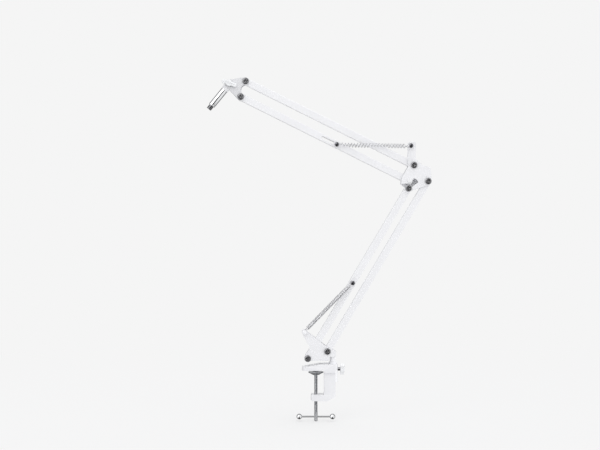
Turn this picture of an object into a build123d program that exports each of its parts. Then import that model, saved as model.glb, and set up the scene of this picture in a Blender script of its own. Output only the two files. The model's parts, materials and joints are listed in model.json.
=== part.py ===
"""Desk-clamped spring-balanced scissor arm, in millimetres.

The origin lies on the desk surface under the clamp's upper jaw, on the clamp screw's axis.
+X points away from the desk edge, +Y across the arm, and +Z up. The arm swings in the XZ plane.
"""

import os
from math import atan2, cos, degrees, hypot, radians, sin

from build123d import *

os.makedirs("parts", exist_ok=True)

# ---------------------------------------------------------------- driving dimensions
# Clamp
JAW_HEIGHT = 11.0
JAW_TIP_HEIGHT = 5.5
JAW_REACH = 24.5
CLAMP_WIDTH = 32.0
COLUMN_INNER_X = 14.5
COLUMN_OUTER_X = 34.5
LOWER_JAW_TOP_Z = -43.0
LOWER_JAW_THICKNESS = 11.0
JAW_SIDE_RECESS = 3.5
SCREW_BOSS_RADIUS = 9.0
THROAT_FILLET = 2.0
JAW_CORNER_RADIUS = 7.0
SOCKET_X = 30.0
SOCKET_DEPTH = 27.0
SOCKET_BOSS_RADIUS = 9.0
SOCKET_BOSS_LENGTH = 32.0
JAW_ROOT_Z = -4.0
PIN_RADIUS = 5.25
PIN_FOOT_GAP = 3.0
RUNNING_GAP = 0.05

# Clamp screw
SCREW_RADIUS = 3.0
PAD_TOP_Z = -3.0
PAD_THICKNESS = 5.6
PAD_RADIUS = 13.5
PAD_RIM = 1.8
PAD_DISH = 0.8
PAD_SOCKET_DEPTH = PAD_THICKNESS - 2.0
PILOT_RADIUS = 2.2
PILOT_GAP = 0.1
BAR_Z = -83.0
BAR_RADIUS = 1.5
BALL_RADIUS = 5.0
BALL_SPACING = 59.0
SCREW_TAIL = 8.0
LOCK_Z = 1.5

# Arm sections
TUBE = 12.5
TUBE_WALL = 1.2
LOWER_LENGTH = 350.0
LOWER_ANGLE = 59.4
UPPER_LENGTH = 333.0
UPPER_ANGLE = 153.5
BOLT_RADIUS = 3.0
BOLT_HEAD_RADIUS = 5.75
BOLT_HEAD_HEIGHT = 3.6
BOLT_TAIL = 1.0
RECESS_SPAN = 6.0
RECESS_WIDTH = 1.3
RECESS_DEPTH = 1.6
NUT_FLATS = 10.0
NUT_HEIGHT = 6.0
NUT_HEX_SHARE = 0.7

# Sheet-metal brackets
BRACKET_Z = 17.0
PLATE_Z = BRACKET_Z + 7.0
SHEET = 1.8
CHEEK_IN = 7.0
CHEEK_OUT = CHEEK_IN + SHEET
WASHER_THICKNESS = 0.65
WASHER_RADIUS = 6.0
RIVET_HEAD_RADIUS = 3.8
RIVET_HEAD_HEIGHT = 1.2

# Springs
SPRING_RADIUS = 3.3
SPRING_BORE_RADIUS = 2.3
SPRING_Y = 12.8
WIRE_RADIUS = 0.6
EYE_RADIUS = 3.6
POST_RADIUS = 2.2
POST_HEAD_RADIUS = 3.9
POST_HEAD_WIDTH = 2.0
POST_END_Y = 16.4

# Head
ROD_RADIUS = 6.2
ROD_START = 9.0
ROD_END = 50.0
STUD_RADIUS = 4.76
STUD_LENGTH = 8.0
ROD_ANGLE = 230.5
HEAD_HALF_WIDTH = 6.4
HEAD_FLANGE_RADIUS = 6.7
HEAD_LENGTH = 14.0
WING_SPAN = 27.0
WING_THICKNESS = 8.0
WING_HUB_RADIUS = 5.5
WING_TIP_RADIUS = 3.2
WING_BORE_DEPTH = 5.0


# ---------------------------------------------------------------- joint centres
# Arm coordinates: x from the pivot pin's axis, z from the underside of the base bracket.
def along(start, angle, distance):
    """The point a distance from start in the arm's plane."""
    return (start[0] + distance * cos(radians(angle)), start[1] + distance * sin(radians(angle)))


def straight_line(start, end):
    """The length and the angle of the straight line between two arm points."""
    run = (end[0] - start[0], end[1] - start[1])
    return hypot(*run), degrees(atan2(run[1], run[0]))


B1 = (-44.3, 4.0)
B2 = (-9.7, 16.5)
E3 = along(B1, LOWER_ANGLE, LOWER_LENGTH)
E2 = along(B2, LOWER_ANGLE, LOWER_LENGTH)
E1 = (143.5, 346.1)
E4 = (134.9, 318.6)
T1 = along(E1, UPPER_ANGLE, UPPER_LENGTH)
T2 = along(E4, UPPER_ANGLE, UPPER_LENGTH)
TILT = (-183.4, 490.5)

LOWER_ANCHOR = (-50.9, 50.4)
LOWER_POST = along(B1, LOWER_ANGLE, 155.5)
UPPER_ANCHOR = (137.8, 380.1)
UPPER_POST = along(E4, UPPER_ANGLE, 143.0)


# ---------------------------------------------------------------- planes and shared shapes
def arm_plane(y):
    """The arm's plane at depth y, facing -Y, in arm coordinates."""
    return Plane(origin=(SOCKET_X, y, BRACKET_Z), x_dir=(1, 0, 0), z_dir=(0, -1, 0))


def side_plane(y):
    """The clamp's side plane at depth y, facing -Y, in part coordinates."""
    return Plane(origin=(0, y, 0), x_dir=(1, 0, 0), z_dir=(0, -1, 0))


def direction_plane(point, angle, y=0.0):
    """A plane through an arm point whose normal runs in the arm's plane at the given angle."""
    return Plane(
        origin=(SOCKET_X + point[0], y, BRACKET_Z + point[1]),
        x_dir=(0, 1, 0),
        z_dir=(cos(radians(angle)), 0, sin(radians(angle))),
    )


def cross_cylinder(points, radius, y_from, y_to, mode=Mode.ADD):
    """Cylinders across the arm at the given arm points, from y_from to the smaller y_to."""
    with BuildSketch(arm_plane(y_from)) as discs:
        with Locations(*points):
            Circle(radius)
    extrude(discs.sketch, amount=y_from - y_to, mode=mode)


def pan_heads(points, y):
    """Domed screw heads with a cross recess, facing -Y, seated on the plane at depth y."""
    cross_cylinder(points, BOLT_HEAD_RADIUS, y, y - BOLT_HEAD_HEIGHT)
    rims = edges().filter_by(GeomType.CIRCLE).group_by(Axis.Y)[0]
    fillet(rims, BOLT_HEAD_HEIGHT / 2)
    with BuildSketch(arm_plane(y - BOLT_HEAD_HEIGHT + RECESS_DEPTH)) as recess:
        with Locations(*points):
            Rectangle(RECESS_SPAN, RECESS_WIDTH)
            Rectangle(RECESS_WIDTH, RECESS_SPAN)
    extrude(recess.sketch, amount=RECESS_DEPTH, mode=Mode.SUBTRACT)


def lock_nuts(points, y):
    """Hexagonal lock nuts with a domed collar, facing +Y, seated on the plane at depth y."""
    hex_height = NUT_HEIGHT * NUT_HEX_SHARE
    with BuildSketch(arm_plane(y + hex_height)) as hexagons:
        with Locations(*points):
            RegularPolygon(NUT_FLATS / 2, 6, major_radius=False)
            Circle(BOLT_RADIUS + RUNNING_GAP, mode=Mode.SUBTRACT)
    extrude(hexagons.sketch, amount=hex_height)
    with BuildSketch(arm_plane(y + NUT_HEIGHT)) as collars:
        with Locations(*points):
            Circle(NUT_FLATS / 2 - 0.5)
            Circle(BOLT_RADIUS + RUNNING_GAP, mode=Mode.SUBTRACT)
    extrude(collars.sketch, amount=NUT_HEIGHT - hex_height)


def export(builder, name):
    """Label a finished piece and write its STEP file."""
    builder.part.label = name
    export_step(builder.part, f"parts/{name}.step")


# ---------------------------------------------------------------- clamp
BOSS_X = SOCKET_X + SOCKET_BOSS_RADIUS
with BuildPart() as clamp_frame:
    with BuildSketch(side_plane(CLAMP_WIDTH / 2)):
        with BuildLine():
            Polyline(
                (-JAW_REACH, 0),
                (-JAW_REACH, JAW_TIP_HEIGHT),
                (COLUMN_INNER_X - 6, JAW_HEIGHT),
                (COLUMN_OUTER_X, JAW_HEIGHT),
                (COLUMN_OUTER_X, LOWER_JAW_TOP_Z - 3),
                (COLUMN_INNER_X + 6, LOWER_JAW_TOP_Z - LOWER_JAW_THICKNESS),
                (-8, LOWER_JAW_TOP_Z - LOWER_JAW_THICKNESS),
                (-8, LOWER_JAW_TOP_Z),
                (COLUMN_INNER_X, LOWER_JAW_TOP_Z),
                (COLUMN_INNER_X, 0),
                close=True,
            )
        make_face()
    extrude(amount=CLAMP_WIDTH)
    inner_corners = edges().filter_by(Axis.Y).filter_by_position(
        Axis.X, COLUMN_INNER_X - 0.1, COLUMN_INNER_X + 0.1
    )
    fillet(inner_corners, THROAT_FILLET)
    # The column and the lower jaw are narrower than the upper jaw.
    with BuildSketch(Plane.XY.offset(JAW_ROOT_Z)):
        for side in (1, -1):
            with Locations((12, side * (CLAMP_WIDTH / 2))):
                Rectangle(2 * COLUMN_OUTER_X, 2 * JAW_SIDE_RECESS)
    extrude(amount=LOWER_JAW_TOP_Z - LOWER_JAW_THICKNESS - JAW_ROOT_Z, mode=Mode.SUBTRACT)
    # Round screw boss on the lower jaw and round socket boss at the column's outer side.
    with BuildSketch(Plane.XY.offset(LOWER_JAW_TOP_Z)):
        Circle(SCREW_BOSS_RADIUS)
    extrude(amount=-LOWER_JAW_THICKNESS)
    with BuildSketch(Plane.XY.offset(JAW_HEIGHT)):
        with Locations((SOCKET_X, 0)):
            Circle(SOCKET_BOSS_RADIUS)
    extrude(amount=-SOCKET_BOSS_LENGTH)
    # The upper jaw's free corners are rounded in plan.
    jaw_corners = edges().filter_by(Axis.Z).group_by(Axis.X)[0]
    fillet(jaw_corners, JAW_CORNER_RADIUS)
    # Pivot socket, with a lead-in chamfer, and the lock screw's hole.
    with BuildSketch(Plane.XY.offset(JAW_HEIGHT)):
        with Locations((SOCKET_X, 0)):
            Circle(PIN_RADIUS + RUNNING_GAP)
    extrude(amount=-SOCKET_DEPTH, mode=Mode.SUBTRACT)
    mouth = edges().filter_by(GeomType.CIRCLE).filter_by_position(
        Axis.Z, JAW_HEIGHT - 0.1, JAW_HEIGHT + 0.1
    ).sort_by(SortBy.RADIUS)[0]
    chamfer(mouth, 1.0)
    with BuildSketch(Plane.YZ.offset(SOCKET_X)):
        with Locations((0, LOCK_Z)):
            Circle(BOLT_RADIUS + RUNNING_GAP)
    extrude(amount=SOCKET_BOSS_RADIUS + 1, mode=Mode.SUBTRACT)
    # Tapped hole for the clamp screw.
    with BuildSketch(Plane.XY.offset(LOWER_JAW_TOP_Z)):
        Circle(SCREW_RADIUS + RUNNING_GAP)
    extrude(amount=-LOWER_JAW_THICKNESS, mode=Mode.SUBTRACT)
export(clamp_frame, "clamp_frame")

PAD_UNDERSIDE_Z = PAD_TOP_Z - PAD_THICKNESS
with BuildPart() as clamp_pad:
    with BuildSketch(Plane.XZ):
        with BuildLine():
            Polyline(
                (0, PAD_TOP_Z - PAD_DISH),
                (4.0, PAD_TOP_Z - PAD_DISH),
                (6.0, PAD_TOP_Z),
                (PAD_RADIUS, PAD_TOP_Z),
                (PAD_RADIUS, PAD_TOP_Z - PAD_RIM),
                (6.5, PAD_UNDERSIDE_Z),
                (PILOT_RADIUS + PILOT_GAP, PAD_UNDERSIDE_Z),
                (PILOT_RADIUS + PILOT_GAP, PAD_UNDERSIDE_Z + PAD_SOCKET_DEPTH),
                (0, PAD_UNDERSIDE_Z + PAD_SOCKET_DEPTH),
                close=True,
            )
        make_face()
    revolve(axis=Axis.Z)
export(clamp_pad, "clamp_pad")

SCREW_END_Z = BAR_Z - SCREW_TAIL
with BuildPart() as clamp_screw:
    with BuildSketch(Plane.XY.offset(PAD_UNDERSIDE_Z + PAD_SOCKET_DEPTH - RUNNING_GAP)):
        Circle(PILOT_RADIUS)
    extrude(amount=-PAD_SOCKET_DEPTH)
    with BuildSketch(Plane.XY.offset(PAD_UNDERSIDE_Z - RUNNING_GAP)):
        Circle(SCREW_RADIUS)
    extrude(amount=SCREW_END_Z - PAD_UNDERSIDE_Z + RUNNING_GAP)
    chamfer(faces().sort_by(Axis.Z)[0].edges(), 1.0)
    with BuildSketch(Plane.YZ.offset(-SCREW_RADIUS)):
        with Locations((0, BAR_Z)):
            Circle(BAR_RADIUS + RUNNING_GAP)
    extrude(amount=2 * SCREW_RADIUS, mode=Mode.SUBTRACT)
export(clamp_screw, "clamp_screw")

BAR_HALF = BALL_SPACING / 2
with BuildPart() as tommy_bar:
    with BuildSketch(Plane.YZ.offset(-BAR_HALF)):
        with Locations((0, BAR_Z)):
            Circle(BAR_RADIUS)
    extrude(amount=BALL_SPACING)
export(tommy_bar, "tommy_bar")

with BuildPart() as tommy_bar_balls:
    with Locations((-BAR_HALF, 0, BAR_Z), (BAR_HALF, 0, BAR_Z)):
        Sphere(BALL_RADIUS)
    for side in (1, -1):
        with BuildSketch(Plane.YZ.offset(side * (BAR_HALF - BALL_RADIUS))):
            with Locations((0, BAR_Z)):
                Circle(BAR_RADIUS)
        extrude(amount=side * BALL_RADIUS, mode=Mode.SUBTRACT)
export(tommy_bar_balls, "tommy_bar_balls")


def wing_outline():
    """A wing knob's face: a round hub with two rounded wings."""
    Circle(WING_HUB_RADIUS)
    SlotOverall(WING_SPAN, 2 * WING_TIP_RADIUS)


LOCK_HEAD_X = BOSS_X + 4.5
LOCK_TIP_X = SOCKET_X + PIN_RADIUS + 0.4
LOCK_WING_TURN = 45
with BuildPart() as lock_screw_stud:
    with BuildSketch(Plane.YZ.offset(LOCK_TIP_X)):
        with Locations((0, LOCK_Z)):
            Circle(BOLT_RADIUS)
    extrude(amount=LOCK_HEAD_X + WING_BORE_DEPTH - LOCK_TIP_X)
export(lock_screw_stud, "lock_screw_stud")

with BuildPart() as lock_screw_wing:
    with BuildSketch(Plane(origin=(LOCK_HEAD_X, 0, LOCK_Z), x_dir=(0, 0, 1), z_dir=(1, 0, 0))):
        with Locations(Location((0, 0, 0), (0, 0, LOCK_WING_TURN))):
            wing_outline()
    extrude(amount=WING_THICKNESS)
    fillet(edges().filter_by(Axis.X), 1.0)
    fillet(faces().sort_by(Axis.X)[-1].edges(), 1.2)
    with BuildSketch(Plane.YZ.offset(LOCK_HEAD_X)):
        with Locations((0, LOCK_Z)):
            Circle(BOLT_RADIUS)
    extrude(amount=WING_BORE_DEPTH, mode=Mode.SUBTRACT)
export(lock_screw_wing, "lock_screw_wing")

# ---------------------------------------------------------------- pivot pin
COLLAR_RADIUS = 7.5
COLLAR_HEIGHT = 3.0
SPIGOT_RADIUS = 3.5
SPIGOT_LENGTH = 5.2
THRUST_WASHER = 1.0
RING_THICKNESS = 1.4
SHOULDER_Z = PLATE_Z - THRUST_WASHER
PIN_FOOT_Z = JAW_HEIGHT - SOCKET_DEPTH + PIN_FOOT_GAP
with BuildPart() as pivot_pin:
    with BuildSketch(Plane.XY.offset(PIN_FOOT_Z)):
        with Locations((SOCKET_X, 0)):
            Circle(PIN_RADIUS)
    extrude(amount=SHOULDER_Z - PIN_FOOT_Z)
    chamfer(edges().filter_by(GeomType.CIRCLE).sort_by(Axis.Z)[0], 1.0)
    with BuildSketch(Plane.XY.offset(JAW_HEIGHT)):
        with Locations((SOCKET_X, 0)):
            Circle(COLLAR_RADIUS)
    extrude(amount=COLLAR_HEIGHT)
    with BuildSketch(Plane.XY.offset(SHOULDER_Z)):
        with Locations((SOCKET_X, 0)):
            Circle(SPIGOT_RADIUS)
    extrude(amount=SPIGOT_LENGTH)
export(pivot_pin, "pivot_pin")

with BuildPart() as pivot_thrust_washer:
    with BuildSketch(Plane.XY.offset(SHOULDER_Z)):
        with Locations((SOCKET_X, 0)):
            Circle(PIN_RADIUS + 1.0)
            Circle(SPIGOT_RADIUS + RUNNING_GAP, mode=Mode.SUBTRACT)
    extrude(amount=THRUST_WASHER - RUNNING_GAP)
export(pivot_thrust_washer, "pivot_thrust_washer")

with BuildPart() as pivot_retaining_ring:
    with BuildSketch(Plane.XY.offset(PLATE_Z + SHEET + 2 * RUNNING_GAP)):
        with Locations((SOCKET_X, 0)):
            Circle(PIN_RADIUS + 1.0)
            Circle(SPIGOT_RADIUS, mode=Mode.SUBTRACT)
    extrude(amount=RING_THICKNESS)
export(pivot_retaining_ring, "pivot_retaining_ring")


# ---------------------------------------------------------------- brackets
LOBE_RADIUS = 6.4
PLATE_LENGTH = 32.0


def cheek_pair(outline):
    """Two sheet cheeks of the same outline, one on each side of the tubes."""
    for y in (CHEEK_OUT, -CHEEK_IN):
        with BuildSketch(arm_plane(y)) as cheek:
            outline()
        extrude(cheek.sketch, amount=SHEET)


def folded_web(start, end):
    """A strip of sheet folded across between the cheeks, from start to end in arm points."""
    length, angle = straight_line(start, end)
    with BuildSketch(arm_plane(CHEEK_IN)) as strip:
        with Locations(along(start, angle, length / 2)):
            Rectangle(length, SHEET, rotation=angle)
    extrude(strip.sketch, amount=2 * CHEEK_IN)


def base_outline():
    Polygon(
        (6, PLATE_Z - BRACKET_Z),
        (6, 15.5),
        (-4, 22),
        (-11, 24.6),
        (-49, 53.8),
        (-55, 49),
        (-40.5, 22.5),
        (-49, 9),
        (-49, 0),
        (-6.3, 0),
        (-6.3, PLATE_Z - BRACKET_Z),
        align=None,
    )
    fillet(vertices(), 2.5)
    with Locations(B1):
        Circle(LOBE_RADIUS)


with BuildPart() as base_bracket:
    cheek_pair(base_outline)
    with BuildSketch(Plane.XY.offset(PLATE_Z)):
        with Locations((SOCKET_X + 6 - PLATE_LENGTH / 2, 0)):
            Rectangle(PLATE_LENGTH, 2 * CHEEK_OUT)
    extrude(amount=SHEET)
    cross_cylinder([B1, B2], BOLT_RADIUS + RUNNING_GAP, CHEEK_OUT, -CHEEK_OUT, Mode.SUBTRACT)
    cross_cylinder([LOWER_ANCHOR], POST_RADIUS, CHEEK_OUT, -CHEEK_OUT, Mode.SUBTRACT)
    with BuildSketch(Plane.XY.offset(PLATE_Z)):
        with Locations((SOCKET_X, 0)):
            Circle(SPIGOT_RADIUS + RUNNING_GAP)
    extrude(amount=SHEET, mode=Mode.SUBTRACT)
export(base_bracket, "base_bracket")


def elbow_outline():
    Polygon(
        (133.8, 387),
        (146.4, 387),
        (146.4, 357.5),
        (158, 346.5),
        (172.8, 341.8),
        (E2[0] + LOBE_RADIUS, E2[1]),
        (E2[0] + 2.2, E2[1] - 6.1),
        (E3[0] + 2.2, E3[1] - 6.1),
        (E3[0] - 4, E3[1]),
        (120.4, 313.1),
        (122.2, 325),
        (132.8, 342.7),
        align=None,
    )
    fillet(vertices().group_by(Axis.Y)[-1], 2.5)
    with Locations(E2, E3):
        Circle(LOBE_RADIUS)


def elbow_relief():
    """The opening in the front cheek: it runs in from the left over the lower bolt and then turns up."""
    Polygon(
        (117, 303),
        (127, 303),
        (129, 309),
        (139.6, 307.2),
        (150.6, 315.2),
        (150.2, 318.4),
        (144.6, 322.8),
        (142.6, 321.8),
        (138.6, 315.9),
        (132, 313.4),
        (117, 312.9),
        align=None,
    )
    fillet(vertices(), 0.8)
    with Locations(E3):
        Circle(LOBE_RADIUS, mode=Mode.SUBTRACT)


with BuildPart() as elbow_bracket:
    cheek_pair(elbow_outline)
    with BuildSketch(arm_plane(-CHEEK_IN)) as relief:
        elbow_relief()
    extrude(relief.sketch, amount=SHEET, mode=Mode.SUBTRACT)
    folded_web((157.5, 345.4), (170.5, 341.3))
    folded_web((172.2, 338.0), (173.6, 325.0))
    cross_cylinder([E1, E2, E3], BOLT_RADIUS + RUNNING_GAP, CHEEK_OUT, -CHEEK_OUT, Mode.SUBTRACT)
    cross_cylinder([E4, UPPER_ANCHOR], POST_RADIUS, CHEEK_OUT, -CHEEK_OUT, Mode.SUBTRACT)
export(elbow_bracket, "elbow_bracket")


def tip_outline():
    with BuildSketch(mode=Mode.PRIVATE) as body:
        with Locations(T1, T2):
            Circle(6.6)
        with Locations(TILT):
            Circle(7.2)
        make_hull()
        with Locations((T1[0] + 1.0, T1[1] - 15.2)):
            Circle(9.5, mode=Mode.SUBTRACT)
    add(body.sketch)


with BuildPart() as tip_bracket:
    cheek_pair(tip_outline)
    folded_web((TILT[0] + 7.2, TILT[1] + 6.9), (T1[0] - 8.6, T1[1] + 5.8))
    cross_cylinder([T1, T2, TILT], BOLT_RADIUS + RUNNING_GAP, CHEEK_OUT, -CHEEK_OUT, Mode.SUBTRACT)
export(tip_bracket, "tip_bracket")

# ---------------------------------------------------------------- pivot hardware
for place, centres in (("base", [B1, B2]), ("elbow", [E1, E2, E3]), ("tip", [T1, T2])):
    with BuildPart() as bolts:
        pan_heads(centres, -CHEEK_OUT)
        cross_cylinder(centres, BOLT_RADIUS, CHEEK_OUT + NUT_HEIGHT + BOLT_TAIL, -CHEEK_OUT)
    export(bolts, f"{place}_pivot_bolts")

    with BuildPart() as nuts:
        lock_nuts(centres, CHEEK_OUT)
    export(nuts, f"{place}_lock_nuts")

    washered = centres + [E4] if place == "elbow" else centres
    with BuildPart() as washers:
        for y in (CHEEK_IN, -CHEEK_IN + WASHER_THICKNESS):
            with BuildSketch(arm_plane(y)):
                with Locations(*washered):
                    Circle(WASHER_RADIUS)
                    Circle(BOLT_RADIUS + RUNNING_GAP, mode=Mode.SUBTRACT)
            extrude(amount=WASHER_THICKNESS)
    export(washers, f"{place}_nylon_washers")

with BuildPart() as elbow_rivet:
    cross_cylinder([E4], POST_RADIUS, CHEEK_OUT, -CHEEK_OUT)
    for y in (CHEEK_OUT + RIVET_HEAD_HEIGHT, -CHEEK_OUT):
        cross_cylinder([E4], RIVET_HEAD_RADIUS, y, y - RIVET_HEAD_HEIGHT)
    fillet(edges().filter_by(GeomType.CIRCLE).group_by(Axis.Y)[0], 0.8)
    fillet(edges().filter_by(GeomType.CIRCLE).group_by(Axis.Y)[-1], 0.8)
export(elbow_rivet, "elbow_rivet")


# ---------------------------------------------------------------- tubes and their end plugs
def square_tube(start, angle, length):
    """A hollow square tube between two pivot centres, with rounded ends and bolt holes."""
    end = along(start, angle, length)
    with BuildSketch(arm_plane(TUBE / 2)) as outline:
        with Locations(along(start, angle, length / 2)):
            SlotCenterToCenter(length, TUBE, rotation=angle)
    extrude(outline.sketch, amount=TUBE)
    sides = faces().sort_by(Axis.Y)
    fillet(sides[0].edges() + sides[-1].edges(), 1.0)
    with BuildSketch(direction_plane(along(start, angle, -TUBE), angle)) as hollow:
        Rectangle(TUBE - 2 * TUBE_WALL, TUBE - 2 * TUBE_WALL)
    extrude(hollow.sketch, amount=length + 2 * TUBE, mode=Mode.SUBTRACT)
    cross_cylinder([start, end], BOLT_RADIUS + RUNNING_GAP, TUBE, -TUBE, Mode.SUBTRACT)


PLUG = TUBE - 2 * TUBE_WALL - 0.1
PLUG_DEPTH = 15.0


def end_plugs(start, angle, length, hole_radii=(BOLT_RADIUS, BOLT_RADIUS)):
    """The two nylon plugs that close a tube and run on its pivots."""
    ends = (start, along(start, angle, length))
    inward = (angle, angle + 180)
    for centre, heading in zip(ends, inward):
        with BuildSketch(arm_plane(PLUG / 2)) as plug:
            with Locations(centre):
                Circle(PLUG / 2)
            with Locations(along(centre, heading, PLUG_DEPTH / 2)):
                Rectangle(PLUG_DEPTH, PLUG, rotation=angle)
        extrude(plug.sketch, amount=PLUG)
    for centre, radius in zip(ends, hole_radii):
        cross_cylinder([centre], radius + RUNNING_GAP, TUBE, -TUBE, Mode.SUBTRACT)


with BuildPart() as lower_tube_left:
    square_tube(B1, LOWER_ANGLE, LOWER_LENGTH)
    cross_cylinder([LOWER_POST], POST_RADIUS, TUBE, -TUBE, Mode.SUBTRACT)
export(lower_tube_left, "lower_tube_left")

with BuildPart() as lower_tube_right:
    square_tube(B2, LOWER_ANGLE, LOWER_LENGTH)
export(lower_tube_right, "lower_tube_right")

with BuildPart() as upper_tube_top:
    square_tube(E1, UPPER_ANGLE, UPPER_LENGTH)
export(upper_tube_top, "upper_tube_top")

# The upper arm's bottom tube has the spring pin's hole and an adjusting slot beyond it.
SLOT_LENGTH = 24.0
SLOT_GAP = 6.0
with BuildPart() as upper_tube_bottom:
    square_tube(E4, UPPER_ANGLE, UPPER_LENGTH)
    cross_cylinder([UPPER_POST], POST_RADIUS, TUBE, -TUBE, Mode.SUBTRACT)
    with BuildSketch(arm_plane(TUBE)):
        with Locations(along(UPPER_POST, UPPER_ANGLE, SLOT_GAP + SLOT_LENGTH / 2)):
            SlotOverall(SLOT_LENGTH, 2 * POST_RADIUS, rotation=UPPER_ANGLE)
    extrude(amount=2 * TUBE, mode=Mode.SUBTRACT)
export(upper_tube_bottom, "upper_tube_bottom")

with BuildPart() as lower_left_plugs:
    end_plugs(B1, LOWER_ANGLE, LOWER_LENGTH)
export(lower_left_plugs, "lower_left_plugs")

with BuildPart() as lower_right_plugs:
    end_plugs(B2, LOWER_ANGLE, LOWER_LENGTH)
export(lower_right_plugs, "lower_right_plugs")

with BuildPart() as upper_top_plugs:
    end_plugs(E1, UPPER_ANGLE, UPPER_LENGTH)
export(upper_top_plugs, "upper_top_plugs")

with BuildPart() as upper_bottom_plugs:
    end_plugs(E4, UPPER_ANGLE, UPPER_LENGTH, (POST_RADIUS, BOLT_RADIUS))
export(upper_bottom_plugs, "upper_bottom_plugs")


# ---------------------------------------------------------------- spring posts and springs
def post_heads(centre):
    """Turned heads at both ends of a spring post, outside the spring eyes."""
    for y in (POST_END_Y, POST_HEAD_WIDTH - POST_END_Y):
        cross_cylinder([centre], POST_HEAD_RADIUS, y, y - POST_HEAD_WIDTH)
    fillet(edges().filter_by(GeomType.CIRCLE).group_by(Axis.Y)[0], 0.6)
    fillet(edges().filter_by(GeomType.CIRCLE).group_by(Axis.Y)[-1], 0.6)


for name, centre in (
    ("lower_tube_spring_pin", LOWER_POST),
    ("upper_tube_spring_pin", UPPER_POST),
    ("elbow_spring_pin", UPPER_ANCHOR),
):
    with BuildPart() as spring_pin:
        cross_cylinder([centre], POST_RADIUS, POST_END_Y, -POST_END_Y)
        post_heads(centre)
    export(spring_pin, name)

# The lower tube passes between the base lugs, so their posts are two short riveted ones.
with BuildPart() as base_spring_posts:
    for y_inner in (CHEEK_IN, -POST_END_Y):
        cross_cylinder([LOWER_ANCHOR], POST_RADIUS, y_inner + POST_END_Y - CHEEK_IN, y_inner)
    post_heads(LOWER_ANCHOR)
export(base_spring_posts, "base_spring_posts")

COIL_INSET = 8.0
HOOK_REACH = 40.0


def round_bar(centre, angle, y, start, end, radius, bore=0.0):
    """A bar, or a tube with a bore, along a spring's axis from start to end."""
    with BuildSketch(direction_plane(along(centre, angle, start), angle, y)) as ring:
        Circle(radius)
        if bore:
            Circle(bore, mode=Mode.SUBTRACT)
    extrude(ring.sketch, amount=end - start)


def eye(centre, y):
    """The round wire eye that hooks over a post."""
    with Locations((SOCKET_X + centre[0], y, BRACKET_Z + centre[1])):
        Torus(EYE_RADIUS, WIRE_RADIUS, rotation=(90, 0, 0))


for arm, anchor, post in (
    ("lower", LOWER_ANCHOR, LOWER_POST),
    ("upper", UPPER_ANCHOR, UPPER_POST),
):
    length, angle = straight_line(anchor, post)
    for side, y in (("front", -SPRING_Y), ("back", SPRING_Y)):
        with BuildPart() as spring:
            eye(anchor, y)
            round_bar(anchor, angle, y, EYE_RADIUS, COIL_INSET, WIRE_RADIUS)
            round_bar(anchor, angle, y, COIL_INSET - 1.0, COIL_INSET, SPRING_RADIUS)
            round_bar(anchor, angle, y, COIL_INSET, length - COIL_INSET, SPRING_RADIUS, SPRING_BORE_RADIUS)
        export(spring, f"{arm}_spring_{side}")
        with BuildPart() as hook:
            eye(post, y)
            round_bar(post, angle + 180, y, EYE_RADIUS, HOOK_REACH, WIRE_RADIUS)
        export(hook, f"{arm}_spring_hook_{side}")

# ---------------------------------------------------------------- head
TILT_WASHER_THICKNESS = 1.1
WING_FACE_Y = -CHEEK_OUT - TILT_WASHER_THICKNESS - 2 * RUNNING_GAP
WING_TILT = -19
HEAD_FLANGE_LENGTH = 3.0
with BuildPart() as swivel_head:
    neck = HEAD_LENGTH - HEAD_FLANGE_LENGTH
    with BuildSketch(arm_plane(HEAD_HALF_WIDTH)):
        with Locations(TILT):
            Circle(HEAD_HALF_WIDTH + 0.6)
        with Locations(along(TILT, ROD_ANGLE, neck / 2)):
            Rectangle(neck, 2 * HEAD_HALF_WIDTH, rotation=ROD_ANGLE)
    extrude(amount=2 * HEAD_HALF_WIDTH)
    round_bar(TILT, ROD_ANGLE, 0, neck, HEAD_LENGTH, HEAD_FLANGE_RADIUS)
    cross_cylinder([TILT], BOLT_RADIUS + RUNNING_GAP, CHEEK_IN, -CHEEK_IN, Mode.SUBTRACT)
    with BuildSketch(direction_plane(along(TILT, ROD_ANGLE, ROD_START), ROD_ANGLE)):
        Circle(ROD_RADIUS)
    extrude(amount=HEAD_LENGTH, mode=Mode.SUBTRACT)
export(swivel_head, "swivel_head")

with BuildPart() as chrome_rod:
    round_bar(TILT, ROD_ANGLE, 0, ROD_START, ROD_END, ROD_RADIUS)
    chamfer(edges().filter_by(GeomType.CIRCLE), 0.7)
export(chrome_rod, "chrome_rod")

with BuildPart() as threaded_stud:
    round_bar(TILT, ROD_ANGLE, 0, ROD_END, ROD_END + STUD_LENGTH, STUD_RADIUS)
export(threaded_stud, "threaded_stud")

with BuildPart() as tilt_screw_stud:
    stud_ends = (CHEEK_OUT + NUT_HEIGHT + BOLT_TAIL, WING_FACE_Y - WING_BORE_DEPTH)
    cross_cylinder([TILT], BOLT_RADIUS, *stud_ends)
export(tilt_screw_stud, "tilt_screw_stud")

with BuildPart() as tilt_screw_wing:
    with BuildSketch(arm_plane(WING_FACE_Y)):
        with Locations(Location((TILT[0], TILT[1], 0), (0, 0, WING_TILT))):
            wing_outline()
    extrude(amount=WING_THICKNESS)
    fillet(edges().filter_by(Axis.Y), 1.0)
    fillet(faces().sort_by(Axis.Y)[0].edges(), 1.2)
    cross_cylinder([TILT], BOLT_RADIUS, WING_FACE_Y, WING_FACE_Y - WING_BORE_DEPTH, Mode.SUBTRACT)
export(tilt_screw_wing, "tilt_screw_wing")

with BuildPart() as tilt_nut:
    lock_nuts([TILT], CHEEK_OUT)
export(tilt_nut, "tilt_nut")

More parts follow.
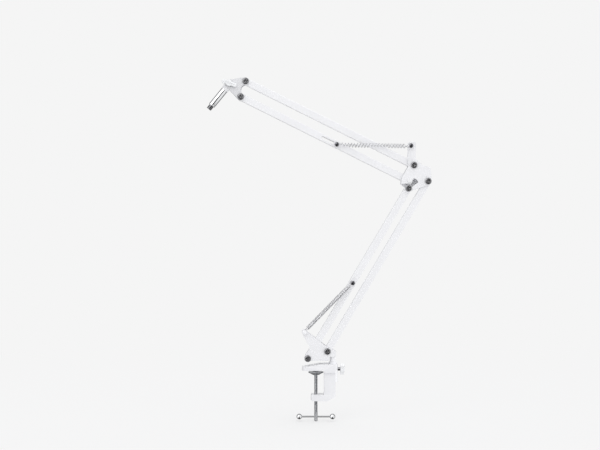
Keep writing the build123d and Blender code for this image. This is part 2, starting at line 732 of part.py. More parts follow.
with BuildPart() as tilt_washer:
    with BuildSketch(arm_plane(-CHEEK_OUT)):
        with Locations(TILT):
            Circle(WASHER_RADIUS)
            Circle(BOLT_RADIUS + RUNNING_GAP, mode=Mode.SUBTRACT)
    extrude(amount=TILT_WASHER_THICKNESS)
export(tilt_washer, "tilt_washer")
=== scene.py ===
"""Looks of a white desk-clamped scissor arm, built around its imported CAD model. Metres, CAD frame."""

import json
import math

import bmesh
import bpy
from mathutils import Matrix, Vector


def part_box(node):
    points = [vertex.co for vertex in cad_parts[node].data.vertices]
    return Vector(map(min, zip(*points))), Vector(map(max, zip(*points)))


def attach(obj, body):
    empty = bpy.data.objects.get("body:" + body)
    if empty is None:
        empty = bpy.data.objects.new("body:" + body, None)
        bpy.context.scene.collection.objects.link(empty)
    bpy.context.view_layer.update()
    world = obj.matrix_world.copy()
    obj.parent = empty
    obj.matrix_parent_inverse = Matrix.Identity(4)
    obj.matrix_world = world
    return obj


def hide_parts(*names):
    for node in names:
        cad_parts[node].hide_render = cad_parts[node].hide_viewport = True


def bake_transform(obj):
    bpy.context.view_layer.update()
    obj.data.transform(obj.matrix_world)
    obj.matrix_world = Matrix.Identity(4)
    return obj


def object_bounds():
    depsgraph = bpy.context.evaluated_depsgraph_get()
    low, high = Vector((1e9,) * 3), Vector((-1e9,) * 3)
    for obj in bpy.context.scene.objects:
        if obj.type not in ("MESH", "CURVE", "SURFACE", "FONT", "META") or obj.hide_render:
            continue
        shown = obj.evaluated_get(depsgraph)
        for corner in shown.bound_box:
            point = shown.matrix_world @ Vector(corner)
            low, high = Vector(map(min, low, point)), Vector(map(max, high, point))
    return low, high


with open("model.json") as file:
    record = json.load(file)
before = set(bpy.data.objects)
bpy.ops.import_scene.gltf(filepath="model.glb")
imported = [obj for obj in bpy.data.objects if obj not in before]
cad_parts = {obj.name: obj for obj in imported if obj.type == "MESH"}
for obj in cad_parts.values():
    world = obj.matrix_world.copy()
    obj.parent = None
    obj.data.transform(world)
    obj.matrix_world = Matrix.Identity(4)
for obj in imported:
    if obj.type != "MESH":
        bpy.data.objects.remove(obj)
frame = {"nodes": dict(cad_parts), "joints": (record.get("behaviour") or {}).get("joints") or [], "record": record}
cad_low, cad_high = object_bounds()
MM = 0.001
ACROSS = Vector((0, 1, 0))
OUTWARD = Vector((1, 0, 0))
FACING = Vector((0, -1, 0))
UP = Vector((0, 0, 1))


# ---------------------------------------------------------------- places taken from the frame
def centre(node):
    low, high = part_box(node)
    return (low + high) / 2


def joint(name):
    return next(j for j in frame["joints"] if j["name"] == name)


def body_of(node):
    return next(b for b, nodes in frame["record"]["behaviour"]["bodies"].items() if node in nodes)


def slot_of(node):
    return next(s["material_slot"] for s in frame["record"]["subparts"] if s["node"] == node)


# ---------------------------------------------------------------- procedural materials
class Nodes:
    """A short way to write a material's node tree."""

    def __init__(self, name):
        self.material = bpy.data.materials.new(name)
        self.material.use_nodes = True
        self.tree = self.material.node_tree
        self.shader = self.tree.nodes["Principled BSDF"]
        self.place = self.add("ShaderNodeTexCoord").outputs["Object"]

    def add(self, kind, **settings):
        node = self.tree.nodes.new(kind)
        for key, value in settings.items():
            if key in node.inputs:
                node.inputs[key].default_value = value
            else:
                setattr(node, key, value)
        return node

    def link(self, source, target):
        self.tree.links.new(source, target)

    def noise(self, scale, detail=3.0, stretch=(1, 1, 1), roughness=0.5):
        """Noise with features about 1/scale metres across."""
        mapping = self.add("ShaderNodeMapping", Scale=stretch)
        self.link(self.place, mapping.inputs["Vector"])
        noise = self.add("ShaderNodeTexNoise", Scale=scale, Detail=detail, Roughness=roughness)
        self.link(mapping.outputs["Vector"], noise.inputs["Vector"])
        return noise.outputs["Fac"]

    def ramp(self, source, low, high, from_low=0.3, from_high=0.7):
        """The source value remapped to a number or a colour between low and high."""
        if isinstance(low, (int, float)):
            node = self.add(
                "ShaderNodeMapRange",
                **{"From Min": from_low, "From Max": from_high, "To Min": low, "To Max": high},
            )
            self.link(source, node.inputs["Value"])
            return node.outputs["Result"]
        node = self.add("ShaderNodeValToRGB")
        node.color_ramp.elements[0].position = from_low
        node.color_ramp.elements[1].position = from_high
        node.color_ramp.elements[0].color = (*low, 1)
        node.color_ramp.elements[1].color = (*high, 1)
        self.link(source, node.inputs["Fac"])
        return node.outputs["Color"]

    def mix(self, share, a, b):
        """Colour a where share is 0 and b where it is 1; a and b are colours or sockets."""
        node = self.add("ShaderNodeMix", data_type="RGBA")
        self.link(share, node.inputs["Factor"])
        for value, index in ((a, 6), (b, 7)):
            if isinstance(value, tuple):
                node.inputs[index].default_value = (*value, 1)
            else:
                self.link(value, node.inputs[index])
        return node.outputs[2]

    def edges(self, low=0.5, high=0.6):
        """0 on flat faces and 1 on outer edges."""
        return self.ramp(self.add("ShaderNodeNewGeometry").outputs["Pointiness"], 0.0, 1.0, low, high)

    def painted_fold_shade(self):
        """1 on faces that look at the part's middle plane from across it, as the insides of a fold do; it masks
        painted shade there.
        """
        geometry = self.add("ShaderNodeNewGeometry")
        local = self.add(
            "ShaderNodeVectorTransform", vector_type="NORMAL", convert_from="WORLD", convert_to="OBJECT"
        )
        self.link(geometry.outputs["True Normal"], local.inputs[0])
        normal = self.add("ShaderNodeSeparateXYZ")
        self.link(local.outputs[0], normal.inputs[0])
        place = self.add("ShaderNodeSeparateXYZ")
        self.link(self.place, place.inputs[0])
        product = self.add("ShaderNodeMath", operation="MULTIPLY")
        self.link(normal.outputs["Y"], product.inputs[0])
        self.link(place.outputs["Y"], product.inputs[1])
        return self.ramp(product.outputs["Value"], 1.0, 0.0, -0.009, -0.005)

    def bump(self, *layers):
        """Stacks bump layers, each (height socket, distance in metres)."""
        normal = None
        for height, distance in layers:
            node = self.add("ShaderNodeBump", Strength=1.0, Distance=distance)
            self.link(height, node.inputs["Height"])
            if normal:
                self.link(normal, node.inputs["Normal"])
            normal = node.outputs["Normal"]
        self.link(normal, self.shader.inputs["Normal"])

    def finish(self, color=None, roughness=None, **uniform):
        for value, socket in ((color, "Base Color"), (roughness, "Roughness")):
            if value is not None:
                self.link(value, self.shader.inputs[socket])
        for key, value in uniform.items():
            self.shader.inputs[key.replace("_", " ")].default_value = value
        return self.material


def powder_coat(name, tone):
    """Satin powder coat of a tone: orange peel, faint cloudiness, worn edges, and painted shade inside folds."""
    n = Nodes(name)

    def shade(share, blue):
        return (tone * share, tone * (share + 0.002), tone * (share + blue))

    cloud = n.ramp(n.noise(38, 4), shade(0.965, 0.022), shade(1.0, 0.020))
    speck = n.ramp(n.noise(1700, 1), 0.0, 0.18, 0.72, 0.80)
    color = n.mix(speck, cloud, shade(0.82, 0.03))
    color = n.mix(n.edges(0.53, 0.62), color, shade(0.93, 0.03))
    # Painted shade: faces inside the folds are darkened to stand in for the shade that falls between the cheeks.
    color = n.mix(n.painted_fold_shade(), color, shade(0.95, 0.03))
    rough = n.ramp(n.noise(120, 3), 0.32, 0.46)
    n.bump((n.noise(900, 2), 0.000035), (n.noise(320, 2), 0.00005))
    return n.finish(color, rough, Coat_Weight=0.08, Coat_Roughness=0.3)


def moulded_plastic(name, dark, light, rough_low, rough_high):
    """Injection-moulded plastic with a fine spark-eroded grain."""
    n = Nodes(name)
    color = n.ramp(n.noise(55, 3), dark, light)
    rough = n.ramp(n.noise(400, 2), rough_low, rough_high)
    n.bump((n.noise(3200, 2), 0.00004), (n.noise(140, 2), 0.00005))
    return n.finish(color, rough, IOR=1.5, Specular_IOR_Level=0.45)


def chrome():
    """Polished chrome plate with hairline wiping marks and a faint haze."""
    n = Nodes("polished_chrome")
    color = n.ramp(n.noise(60, 3), (0.80, 0.805, 0.82), (0.87, 0.875, 0.885))
    haze = n.ramp(n.noise(90, 4), 0.05, 0.12)
    n.bump((n.noise(2200, 2, (1, 1, 0.12)), 0.000008))
    return n.finish(color, haze, Metallic=1.0)


def plated_steel(name, dark, light, rough_low, rough_high, edge):
    """Plated steel with turning marks, mottling and brighter rubbed edges."""
    n = Nodes(name)
    color = n.ramp(n.noise(420, 4), dark, light)
    color = n.mix(n.edges(0.52, 0.60), color, edge)
    rough = n.ramp(n.noise(700, 3), rough_low, rough_high)
    n.bump((n.noise(2600, 3), 0.00002))
    return n.finish(color, rough, Metallic=1.0)


MATERIALS = {
    "white_paint": powder_coat("white_powder_coat", 0.892),
    # Painted shade: a darker copy of the white coat that stands in for the shade the tip bracket sits in.
    "grey_paint": powder_coat("white_powder_coat_painted_shade", 0.76),
    "white_plastic": moulded_plastic(
        "white_knob_plastic", (0.87, 0.88, 0.895), (0.91, 0.915, 0.925), 0.36, 0.5
    ),
    "nylon": moulded_plastic("natural_nylon", (0.72, 0.73, 0.73), (0.80, 0.805, 0.80), 0.45, 0.6),
    "chrome": chrome(),
    "nickel": plated_steel(
        "dark_nickel", (0.22, 0.22, 0.23), (0.34, 0.34, 0.35), 0.19, 0.33, edge=(0.5, 0.5, 0.52)
    ),
    "black_steel": plated_steel(
        "black_oxide", (0.10, 0.10, 0.11), (0.17, 0.17, 0.18), 0.13, 0.22, edge=(0.3, 0.3, 0.32)
    ),
    "zinc": plated_steel(
        "bright_zinc", (0.36, 0.37, 0.385), (0.50, 0.51, 0.525), 0.20, 0.36, edge=(0.7, 0.7, 0.72)
    ),
    "spring_wire": plated_steel(
        "spring_wire", (0.66, 0.67, 0.69), (0.78, 0.785, 0.80), 0.36, 0.50, edge=(0.85, 0.85, 0.87)
    ),
}


# ---------------------------------------------------------------- mesh helpers
def smooth(mesh, angle=35):
    """Shades a mesh smooth except across edges sharper than the angle in degrees."""
    for polygon in mesh.polygons:
        polygon.use_smooth = True
    mesh.set_sharp_from_angle(angle=math.radians(angle))


def piece(name, bm, nodes, angle=35, blended=False):
    """Makes a finished piece from a bmesh. It replaces the CAD nodes, and is painted as they are.

    It rides on their body too, unless its caller sets blended; then it is left unattached.
    """
    mesh = bpy.data.meshes.new(name)
    bmesh.ops.recalc_face_normals(bm, faces=bm.faces)
    bm.to_mesh(mesh)
    bm.free()
    smooth(mesh, angle)
    made = bpy.data.objects.new(name, mesh)
    bpy.context.scene.collection.objects.link(made)
    mesh.materials.append(MATERIALS[slot_of(nodes[0])])
    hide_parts(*nodes)
    if not blended:
        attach(made, body_of(nodes[0]))
    return made


WELD_DISTANCE = 0.002 * MM
FLAT_ANGLE = math.radians(0.6)
HARD_EDGE_ANGLE = math.radians(38)


def refined(node, width, segments=2, shape=None):
    """The CAD node's own shape with its hard edges rounded, as on sheet, castings and mouldings."""
    bm = bmesh.new()
    bm.from_mesh(frame["nodes"][node].data)
    bmesh.ops.remove_doubles(bm, verts=bm.verts, dist=WELD_DISTANCE)
    bmesh.ops.dissolve_limit(bm, angle_limit=FLAT_ANGLE, verts=bm.verts, edges=bm.edges)
    shared = [e for e in bm.edges if len(e.link_faces) == 2]
    sharp = [e for e in shared if e.calc_face_angle(0.0) > HARD_EDGE_ANGLE]
    bmesh.ops.bevel(
        bm, geom=sharp, offset=width, segments=segments, profile=0.5, affect="EDGES", clamp_overlap=True
    )
    if shape:
        for vertex in bm.verts:
            vertex.co = shape(vertex.co)
    made = piece(node + "_detail", bm, [node])
    made.modifiers.new("flat faces stay flat", "WEIGHTED_NORMAL").keep_sharp = True
    return made


def axes_for(axis):
    """Two unit vectors square to the axis and to each other."""
    side = axis.cross(ACROSS if abs(axis.dot(ACROSS)) < 0.9 else UP).normalized()
    return side, axis.cross(side).normalized()


RINGS_PER_PITCH = 6
VEE_STEEPNESS = 1.25


def with_thread_rings(profile, thread):
    """The profile with evenly spaced rings added over the threaded stretch."""
    start, end, pitch, _ = thread
    count = max(2, round((end - start) / pitch * RINGS_PER_PITCH))
    added = []
    for i in range(count + 1):
        distance = start + (end - start) * i / count
        for (d0, r0), (d1, r1) in zip(profile, profile[1:]):
            if d0 < distance < d1:
                added.append((distance, r0 + (r1 - r0) * (distance - d0) / (d1 - d0)))
    return sorted(profile + added, key=lambda point: point[0])


def groove(thread, distance, share):
    """How deep the thread's groove is at a distance and a share of a turn: a vee with a narrow flat crest."""
    start, end, pitch, depth = thread
    if not start <= distance <= end:
        return 0
    phase = (distance / pitch - share) % 1
    vee = max(0.0, 1 - abs(2 * phase - 1) * VEE_STEEPNESS)
    run_out = max(0.0, min(1.0, (distance - start) / pitch, (end - distance) / pitch))
    return depth * vee * run_out


def lathe(bm, origin, axis, profile, segments=48, thread=None):
    """Turns a profile of (distance along the axis, radius) points round the axis. Radius 0 closes an end.

    A thread is (start, end, pitch, depth): a helical groove cut into the turned shape from start to end.
    """
    side, other = axes_for(axis)
    if thread:
        profile = with_thread_rings(profile, thread)
    rings = []
    for distance, radius in profile:
        middle = origin + axis * distance
        if radius == 0:
            rings.append([bm.verts.new(middle)])
            continue
        ring = []
        for i in range(segments):
            share = i / segments
            turn = 2 * math.pi * share
            reach = radius - (groove(thread, distance, share) if thread else 0)
            ring.append(bm.verts.new(middle + (side * math.cos(turn) + other * math.sin(turn)) * reach))
        rings.append(ring)
    for first, second in zip(rings, rings[1:]):
        for i in range(segments):
            j = (i + 1) % segments
            corners = [
                first[i % len(first)],
                first[j % len(first)],
                second[j % len(second)],
                second[i % len(second)],
            ]
            bm.faces.new(list(dict.fromkeys(corners)))
    return bm


def tube_along(bm, points, radius, sides=8):
    """A round wire along a list of points, with closed ends."""
    rings = []
    across = None
    for i, point in enumerate(points):
        run = (points[min(i + 1, len(points) - 1)] - points[max(i - 1, 0)]).normalized()
        if across is None:
            across = axes_for(run)[0]
        across = (across - run * across.dot(run)).normalized()
        other = run.cross(across)
        ring = []
        for k in range(sides):
            turn = 2 * math.pi * k / sides
            ring.append(bm.verts.new(point + (across * math.cos(turn) + other * math.sin(turn)) * radius))
        rings.append(ring)
    for first, second in zip(rings, rings[1:]):
        for k in range(sides):
            m = (k + 1) % sides
            bm.faces.new((first[k], first[m], second[m], second[k]))
    bm.faces.new(rings[0])
    bm.faces.new(list(reversed(rings[-1])))
    return bm


# ---------------------------------------------------------------- springs
WIRE = 0.58 * MM
EYE_RADIUS = 3.4 * MM
EYE_NEAR, EYE_FAR, EYE_STEP = 10, 330, 15
COIL_START = 8.5 * MM
LEAD_STEPS = 6
STEPS_PER_TURN = 18
LOWER_COIL = (2.05 * MM, 1.3 * MM)
UPPER_COIL = (2.7 * MM, 5.3 * MM)


def spring_points(start, end, coil_radius, pitch):
    """A spring's wire, from the eye round the start post, through the coil, to the eye round the end post."""
    axis = (end - start).normalized()
    side = axis.cross(ACROSS).normalized()
    length = (end - start).length
    points = []

    def local(along, out, across):
        points.append(start + axis * along + side * out + ACROSS * across)

    def eye(post, towards, order):
        for step in order:
            turn = math.radians(step)
            local(post + towards * EYE_RADIUS * math.cos(turn), EYE_RADIUS * math.sin(turn), 0)

    def lead(from_along, to_along, growing):
        """The bent lead between the spring's centre line and the coil's rim."""
        for i in range(1, LEAD_STEPS):
            share = i / LEAD_STEPS
            ease = share * share * (3 - 2 * share)
            rim = coil_radius * (ease if growing else 1 - ease)
            local(from_along + (to_along - from_along) * share, 0, rim)

    eye(0, 1, range(EYE_FAR, EYE_NEAR, -EYE_STEP))
    lead(EYE_RADIUS, COIL_START, True)
    turns = round((length - 2 * COIL_START) / pitch)
    steps = turns * STEPS_PER_TURN
    for i in range(steps + 1):
        angle = 2 * math.pi * turns * i / steps
        along_axis = COIL_START + (length - 2 * COIL_START) * i / steps
        local(along_axis, coil_radius * math.sin(angle), coil_radius * math.cos(angle))
    lead(length - COIL_START, length - EYE_RADIUS, False)
    eye(length, -1, range(EYE_NEAR, EYE_FAR, EYE_STEP))
    return points


def spring(arm, side, coil_radius, pitch):
    """One extension spring, stretched straight between the two bodies of its pair."""
    anchor = Vector(joint(f"{arm}_spring_swing")["pos_m"])
    post = centre(f"{arm}_tube_spring_pin")
    depth = centre(f"{arm}_spring_{side}").y
    start, end = Vector((anchor.x, depth, anchor.z)), Vector((post.x, depth, post.z))
    bm = tube_along(bmesh.new(), spring_points(start, end, coil_radius, pitch), WIRE)
    nodes = [f"{arm}_spring_{side}", f"{arm}_spring_hook_{side}"]
    made = piece(f"{arm}_spring_{side}_coil", bm, nodes, 60, blended=True)
    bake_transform(made)


for spring_side in ("front", "back"):
    spring("lower", spring_side, *LOWER_COIL)
    spring("upper", spring_side, *UPPER_COIL)


# ---------------------------------------------------------------- sheet, castings, tubes and hardware
for sheet in ("base_bracket", "elbow_bracket", "tip_bracket"):
    refined(sheet, 0.35 * MM)
refined("clamp_frame", 1.1 * MM, 3)
refined("swivel_head", 0.6 * MM, 3)
for tube in ("lower_tube_left", "lower_tube_right", "upper_tube_top", "upper_tube_bottom"):
    refined(tube, 0.25 * MM)
for place in ("base", "elbow", "tip"):
    refined(f"{place}_pivot_bolts", 0.18 * MM)
    refined(f"{place}_lock_nuts", 0.35 * MM)
refined("tilt_nut", 0.35 * MM)


# ---------------------------------------------------------------- wing knobs
WING_HUB = 5.0 * MM
WING_REACH = 13.5 * MM
WING_WAIST = 0.10
WING_FLARE = 0.30
WING_TAPER = 0.26


def wing_knob(node, stud, out, span):
    """A wing knob whose wings narrow next to the hub, flare to their tips and grow thinner outwards."""
    low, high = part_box(node)
    middle = centre(stud)
    middle += out * (centre(node) - middle).dot(out)
    base = middle - out * abs((high - low).dot(out)) / 2
    across = out.cross(span)

    def shape(point):
        offset = point - middle
        along = abs(offset.dot(span))
        share = min(max((along - WING_HUB) / (WING_REACH - WING_HUB), 0.0), 1.0)
        flare = offset.dot(across) * (WING_FLARE * share - WING_WAIST) if along > WING_HUB else 0.0
        return point + across * flare - out * (point - base).dot(out) * WING_TAPER * share

    refined(node, 0.8 * MM, 4, shape)


LOCK_TURN = math.radians(45)
TILT_TURN = math.radians(19)
lock_span = Vector((0, -math.sin(LOCK_TURN), math.cos(LOCK_TURN)))
tilt_span = Vector((math.cos(TILT_TURN), 0, -math.sin(TILT_TURN)))
wing_knob("lock_screw_wing", "lock_screw_stud", OUTWARD, lock_span)
wing_knob("tilt_screw_wing", "tilt_screw_stud", FACING, tilt_span)


# ---------------------------------------------------------------- turned pieces
def turned(node, origin, axis, profile, segments, thread=None):
    """A turned piece that stands for a CAD node."""
    piece(node + "_turned", lathe(bmesh.new(), origin, axis, profile, segments, thread), [node])


def rounded(profile, radius, steps=4):
    """The profile with its inner corners rounded off by short arcs of the radius."""
    result = [profile[0]]
    for before, corner, after in zip(profile, profile[1:], profile[2:]):
        here = Vector(corner)
        back, ahead = Vector(before) - here, Vector(after) - here
        cut = min(radius, back.length * 0.45, ahead.length * 0.45)
        first, last = here + back.normalized() * cut, here + ahead.normalized() * cut
        for i in range(steps + 1):
            t = i / steps
            result.append(tuple(first * (1 - t) ** 2 + here * 2 * t * (1 - t) + last * t**2))
    return result + [profile[-1]]


def scaled(*points):
    """Profile points given in millimetres, as metres."""
    return [(distance * MM, radius * MM) for distance, radius in points]


# Spring pins and posts: turned, with a domed head outside each spring eye.
SHAFT_RADIUS = 2.2
HEAD_WIDTH = 2.0
POST_HEAD = (
    (0, 3.5),
    (0.4, 3.9),
    (1.0, 3.9),
    (1.35, 3.5),
    (1.65, 2.8),
    (1.87, 1.9),
    (1.97, 1.0),
    (HEAD_WIDTH, 0),
)
PIN_SEGMENTS = 32
SHEET = 1.8 * MM


def spring_pin(node, inner):
    """A pin across the arm with a head at each end.

    Given a depth, it is two posts that start there on each side of the middle and widen to their heads.
    """
    middle = centre(node)
    reach = (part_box(node)[1].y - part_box(node)[0].y) / 2
    shaft = reach / MM - HEAD_WIDTH
    bm = bmesh.new()
    if inner:
        for outwards in (ACROSS, -ACROSS):
            foot = middle + outwards * inner
            length = shaft - inner / MM
            head = [(length + d, r) for d, r in POST_HEAD]
            lathe(bm, foot, outwards, scaled((0, 0), (0, SHAFT_RADIUS), *head), PIN_SEGMENTS)
    else:
        far = [(shaft + d, r) for d, r in POST_HEAD]
        near = [(-d, r) for d, r in reversed(far)]
        profile = scaled(*near, (-shaft, SHAFT_RADIUS), (shaft, SHAFT_RADIUS), *far)
        lathe(bm, middle, ACROSS, profile, PIN_SEGMENTS)
    piece(node + "_turned", bm, [node], 30)


for pin in ("lower_tube_spring_pin", "upper_tube_spring_pin", "elbow_spring_pin"):
    spring_pin(pin, 0)
bracket_low, bracket_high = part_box("base_bracket")
spring_pin("base_spring_posts", (bracket_high.y - bracket_low.y) / 2 - SHEET)

# Clamp screw: an M6 thread above a plain, cross-drilled end.
screw_low, screw_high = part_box("clamp_screw")
pad_low, pad_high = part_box("clamp_pad")
bar_height = (centre("tommy_bar").z - screw_low.z) / MM
screw_radius = (screw_high.x - screw_low.x) / 2 / MM
pilot_radius = screw_radius - 0.8
pilot_length = 3.4
end_chamfer = 1.0
thread_pitch = 1.0
thread_depth = 0.58
thread_start = 2 * bar_height
screw_top = (pad_low.z - screw_low.z) / MM - 0.05
turned(
    "clamp_screw",
    Vector((0, 0, screw_low.z)),
    UP,
    scaled(
        (0, 0),
        (0, screw_radius - end_chamfer),
        (end_chamfer, screw_radius),
        (thread_start, screw_radius),
        (screw_top - end_chamfer, screw_radius),
        (screw_top, screw_radius - 0.7),
        (screw_top, pilot_radius),
        (screw_top + pilot_length, pilot_radius),
        (screw_top + pilot_length, 0),
    ),
    40,
    (thread_start * MM, (screw_top - end_chamfer) * MM, thread_pitch * MM, thread_depth * MM),
)

# Swivel pad: a pressed dish with a rolled rim, swaged round the screw's tip.
pad_height = (pad_high.z - pad_low.z) / MM
pad_bore = pilot_radius + 0.1
pad_floor = pad_height - 0.8
turned(
    "clamp_pad",
    Vector((0, 0, pad_low.z)),
    UP,
    rounded(
        scaled(
            (3.5, 0),
            (3.5, pad_bore),
            (0, pad_bore),
            (0, 6.5),
            (0.5, 7.0),
            (3.8, 13.3),
            (4.3, 13.5),
            (pad_height - 0.5, 13.5),
            (pad_height, 13.0),
            (pad_height, 6.2),
            (pad_floor, 4.2),
            (pad_floor, 0),
        ),
        0.5 * MM,
    ),
    64,
)

# Balls: two turned beads with a small flat where the bar enters.
bar_low, bar_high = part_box("tommy_bar")
ball_low, ball_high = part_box("tommy_bar_balls")
ball = (ball_high.z - ball_low.z) / 2
bar_bore = (bar_high.z - bar_low.z) / 2 + 0.01 * MM
bead_steps = 28
bore_depth = 4.5 * MM
balls = bmesh.new()
for facing, bar_end in ((OUTWARD, bar_low), (-OUTWARD, bar_high)):
    arc = [math.radians(180 * i / bead_steps) for i in range(bead_steps - 2)]
    bead = [(-ball * math.cos(a), ball * math.sin(a)) for a in arc]
    bead[0] = (-ball, 0)
    flat = bead[-1][0]
    bead += [(flat + 0.1 * MM, bar_bore + 0.4 * MM), (flat - 0.9 * MM, bar_bore)]
    bead += [(flat - bore_depth, bar_bore), (flat - bore_depth, 0)]
    lathe(balls, Vector((bar_end.x, 0, centre("tommy_bar").z)), facing, bead, 40)
piece("tommy_bar_balls_turned", balls, ["tommy_bar_balls"], 50)

# Head rod: polished, with a chamfer at each end and a narrow groove above the stud.
tilt_axis = Vector(joint("head_tilt")["pos_m"])
stud_mount = next(m for m in frame["record"]["mounts"] if m["name"] == "boom_stud")
along_rod = Vector(stud_mount["axis"]).normalized()
rod_start, rod_end, stud_end = 9.0, 50.0, 58.0
rod_radius, groove_radius = 6.2, 5.9
stud_radius, stud_root, stud_pitch, stud_depth = 4.76, 3.9, 25.4 / 16, 0.8
stud_thread_start = rod_end + 0.9
turned(
    "chrome_rod",
    tilt_axis,
    along_rod,
    rounded(
        scaled(
            (rod_start, 0),
            (rod_start, 5.5),
            (rod_start + 0.7, rod_radius),
            (rod_end - 3.4, rod_radius),
            (rod_end - 3.2, groove_radius),
            (rod_end - 2.6, groove_radius),
            (rod_end - 2.4, rod_radius),
            (rod_end - 0.8, rod_radius),
            (rod_end, 5.3),
            (rod_end, 0),
        ),
        0.12 * MM,
        2,
    ),
    72,
)
turned(
    "threaded_stud",
    tilt_axis,
    along_rod,
    scaled(
        (rod_end, 0),
        (rod_end, stud_root),
        (rod_end + 0.6, 4.0),
        (stud_thread_start, stud_radius),
        (stud_end - 1.0, stud_radius),
        (stud_end, stud_root),
        (stud_end, 0),
    ),
    48,
    (stud_thread_start * MM, stud_end * MM, stud_pitch * MM, stud_depth * MM),
)

for node, shown in frame["nodes"].items():
    shown.data.materials.clear()
    shown.data.materials.append(MATERIALS[slot_of(node)])

# ---------------------------------------------------------------- studio
BACKGROUND = 0.913
look_at = Vector((-0.0282, 0, 0.2571))
DISTANCE = 2.0
FRAME_WIDTH = 1.0657
SENSOR = 36

camera_data = bpy.data.cameras.new("camera")
camera = bpy.data.objects.new("camera", camera_data)
bpy.context.scene.collection.objects.link(camera)
bpy.context.scene.camera = camera
camera.location = look_at + FACING * DISTANCE
camera.rotation_euler = (math.radians(90), 0, 0)
camera_data.sensor_width = SENSOR
camera_data.lens = SENSOR * DISTANCE / FRAME_WIDTH


class Studio(Nodes):
    """The world: an even backdrop, soft light mostly from the upper right, and studio reflections."""

    def __init__(self):
        world = bpy.data.worlds.new("studio")
        bpy.context.scene.world = world
        world.use_nodes = True
        # The rays that find the light are told apart below, so the world isn't sampled as a lamp.
        world.cycles.sampling_method = "NONE"
        self.tree = world.node_tree
        self.backdrop = self.tree.nodes["Background"]
        self.direction = self.add("ShaderNodeTexCoord").outputs["Generated"]
        self.ray = self.add("ShaderNodeLightPath")

    def towards(self, direction):
        """1 where the ray runs along the direction and -1 where it runs against it."""
        node = self.add("ShaderNodeVectorMath", operation="DOT_PRODUCT")
        self.link(self.direction, node.inputs[0])
        node.inputs[1].default_value = Vector(direction).normalized()
        return node.outputs["Value"]

    def curve(self, value, *stops):
        """A grey that follows stops of (value from -1 to 1, grey)."""
        share = self.ramp(value, 0.0, 1.0, -1.0, 1.0)
        node = self.add("ShaderNodeValToRGB")
        elements = node.color_ramp.elements
        elements.remove(elements[1])
        for i, (place, grey) in enumerate(stops):
            element = elements[0] if i == 0 else elements.new((place + 1) / 2)
            element.position = (place + 1) / 2
            element.color = (grey, grey, grey, 1)
        self.link(share, node.inputs["Fac"])
        return node.outputs["Color"]

    def math(self, operation, a, b):
        node = self.add("ShaderNodeMath", operation=operation)
        for value, socket in ((a, node.inputs[0]), (b, node.inputs[1])):
            if isinstance(value, (int, float)):
                socket.default_value = value
            else:
                self.link(value, socket)
        return node.outputs["Value"]

    def light(self, source, tint, strength):
        node = self.add("ShaderNodeBackground", Color=(*tint, 1))
        self.link(self.math("MULTIPLY", source, strength), node.inputs["Strength"])
        return node.outputs["Background"]

    def choose(self, share, a, b):
        node = self.add("ShaderNodeMixShader")
        self.link(share, node.inputs["Fac"])
        self.link(a, node.inputs[1])
        self.link(b, node.inputs[2])
        return node.outputs["Shader"]


# Stops of the studio that shiny metal reflects, from -1 (away from the direction) to 1 (along it).
ROOM_STOPS = (
    (-1.0, 0.92),
    (-0.94, 0.92),
    (-0.86, 0.20),
    (-0.22, 0.30),
    (0.02, 0.95),
    (0.935, 0.98),
    (0.965, 0.10),
    (1.0, 0.06),
)
BEHIND_STOPS = ((-1.0, 1.0), (0.0, 1.0), (0.3, 0.0), (1.0, 0.0))
STRIP_STOPS = ((-1.0, 1.0), (-0.33, 1.0), (-0.25, 0.3), (0.25, 0.3), (0.33, 1.0), (1.0, 1.0))
ABOVE_STOPS = ((-1.0, 0.0), (0.05, 0.0), (0.25, 1.0), (1.0, 1.0))
BELOW_STOPS = ((-1.0, 1.0), (0.74, 0.95), (0.85, 0.03), (1.0, 0.02))
LAMP_STOPS = ((-1.0, 0.0), (0.91, 0.0), (0.955, 1.0), (1.0, 1.0))
LAMP_STRENGTH = 2.4
FILL_FROM, FILL_LOW, FILL_HIGH = (0.8, -0.2, 0.55), 0.56, 1.34


def build_studio():
    n = Studio()
    n.backdrop.inputs["Color"].default_value = (1, 1, 1, 1)
    n.backdrop.inputs["Strength"].default_value = BACKGROUND
    fill = n.ramp(n.towards(FILL_FROM), FILL_LOW, FILL_HIGH, -1.0, 1.0)
    soft = n.light(fill, (0.99, 0.992, 1.0), 1.0)
    facing = n.towards((0, -1, 0))
    sides = n.curve(facing, *ROOM_STOPS)
    behind = n.curve(facing, *BEHIND_STOPS)
    strip = n.curve(n.towards((1, 0, 0)), *STRIP_STOPS)
    above = n.curve(n.towards((0, 0, 1)), *ABOVE_STOPS)
    below = n.curve(n.towards((0, -0.35, -0.94)), *BELOW_STOPS)
    unstriped = n.math("MAXIMUM", behind, above)
    room = n.math("MULTIPLY", n.math("MULTIPLY", sides, below), n.math("MAXIMUM", strip, unstriped))
    lamp = n.curve(n.towards((-0.42, -0.80, 0.43)), *LAMP_STOPS)
    glossy = n.light(n.math("ADD", room, n.math("MULTIPLY", lamp, LAMP_STRENGTH)), (1, 1, 1), 1.0)
    chosen = n.choose(n.ray.outputs["Is Diffuse Ray"], n.backdrop.outputs["Background"], soft)
    chosen = n.choose(n.ray.outputs["Is Glossy Ray"], chosen, glossy)
    n.link(chosen, n.tree.nodes["World Output"].inputs["Surface"])


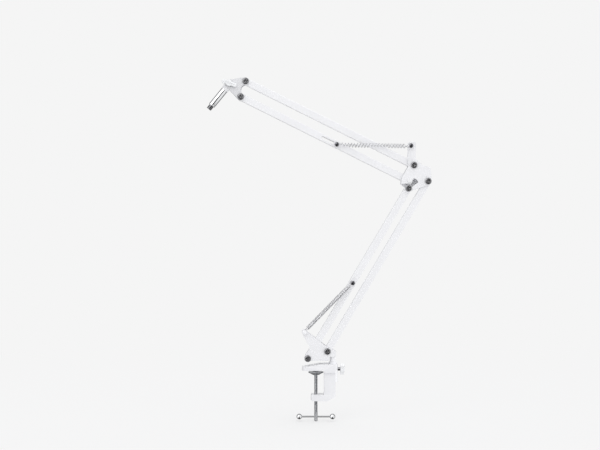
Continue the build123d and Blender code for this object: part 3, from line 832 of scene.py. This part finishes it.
build_studio()
bpy.context.scene.view_settings.view_transform = "Standard"

# ---------------------------------------------------------------- floor
FLOOR_RADIUS = 6.0
FLOOR_FADE = (0.25, 1.3)
FLOOR_GREY = 0.84
FLOOR_GAP = 0.3 * MM
floor_mesh = bpy.data.meshes.new("floor")
floor_bm = bmesh.new()
bmesh.ops.create_circle(floor_bm, cap_ends=True, segments=96, radius=FLOOR_RADIUS)
floor_bm.to_mesh(floor_mesh)
floor_bm.free()
floor = bpy.data.objects.new("floor", floor_mesh)
bpy.context.scene.collection.objects.link(floor)
floor.location = (0, 0, cad_low.z - FLOOR_GAP)
floor.visible_diffuse = False
floor.visible_glossy = False


def floor_material():
    """A pale matt floor that fades into the backdrop with distance."""
    n = Nodes("pale_floor")
    distance = n.add("ShaderNodeVectorMath", operation="LENGTH")
    n.link(n.place, distance.inputs[0])
    fade = n.ramp(distance.outputs["Value"], 0.55, 1.0, *FLOOR_FADE)
    n.shader.inputs["Base Color"].default_value = (FLOOR_GREY, FLOOR_GREY, FLOOR_GREY, 1)
    n.shader.inputs["Roughness"].default_value = 0.9
    n.shader.inputs["Specular IOR Level"].default_value = 0.0
    glow = n.add("ShaderNodeEmission", Color=(1, 1, 1, 1), Strength=BACKGROUND)
    mixed = n.add("ShaderNodeMixShader")
    n.link(fade, mixed.inputs["Fac"])
    n.link(n.shader.outputs["BSDF"], mixed.inputs[1])
    n.link(glow.outputs["Emission"], mixed.inputs[2])
    n.link(mixed.outputs["Shader"], n.tree.nodes["Material Output"].inputs["Surface"])
    return n.material


floor_mesh.materials.append(floor_material())


def softbox(name, place, size, power):
    light = bpy.data.lights.new(name, "AREA")
    light.shape = "RECTANGLE"
    light.size, light.size_y = size
    light.energy = power
    holder = bpy.data.objects.new(name, light)
    bpy.context.scene.collection.objects.link(holder)
    holder.location = place
    holder.rotation_euler = (look_at - Vector(place)).to_track_quat("-Z", "Y").to_euler()


softbox("key", (-0.8, -1.3, 1.6), (0.7, 0.7), 1.6)
